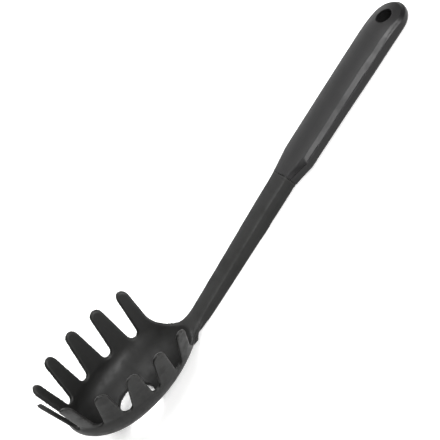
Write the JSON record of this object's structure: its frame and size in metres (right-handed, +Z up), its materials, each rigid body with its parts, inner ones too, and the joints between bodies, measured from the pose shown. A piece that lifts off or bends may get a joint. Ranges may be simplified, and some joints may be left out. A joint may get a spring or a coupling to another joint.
{
  "type": "pasta server",
  "caption": "Charcoal-black pasta server with a deep tined bowl, a round drain hole, a slim shank and a bevelled two-shell grip with a hang hole.",
  "frame": {"origin": "centre of the bounding box's bottom face: the middle of the server's length and width, on the table it lies on", "axes": "+X from the nose of the bowl to the end of the grip, +Y across to the far side, +Z up out of the bowl"},
  "size_m": [0.3126, 0.0758, 0.0659],
  "materials": {
    "nylon": "charcoal-black satin nylon, lightly textured by the mould",
    "grip": "charcoal-black satin plastic, a little smoother than the head"
  },
  "bodies": {
    "root": {"head_and_shank": "nylon", "grip_upper_shell": "grip", "grip_lower_shell": "grip"}
  },
  "joints": []
}
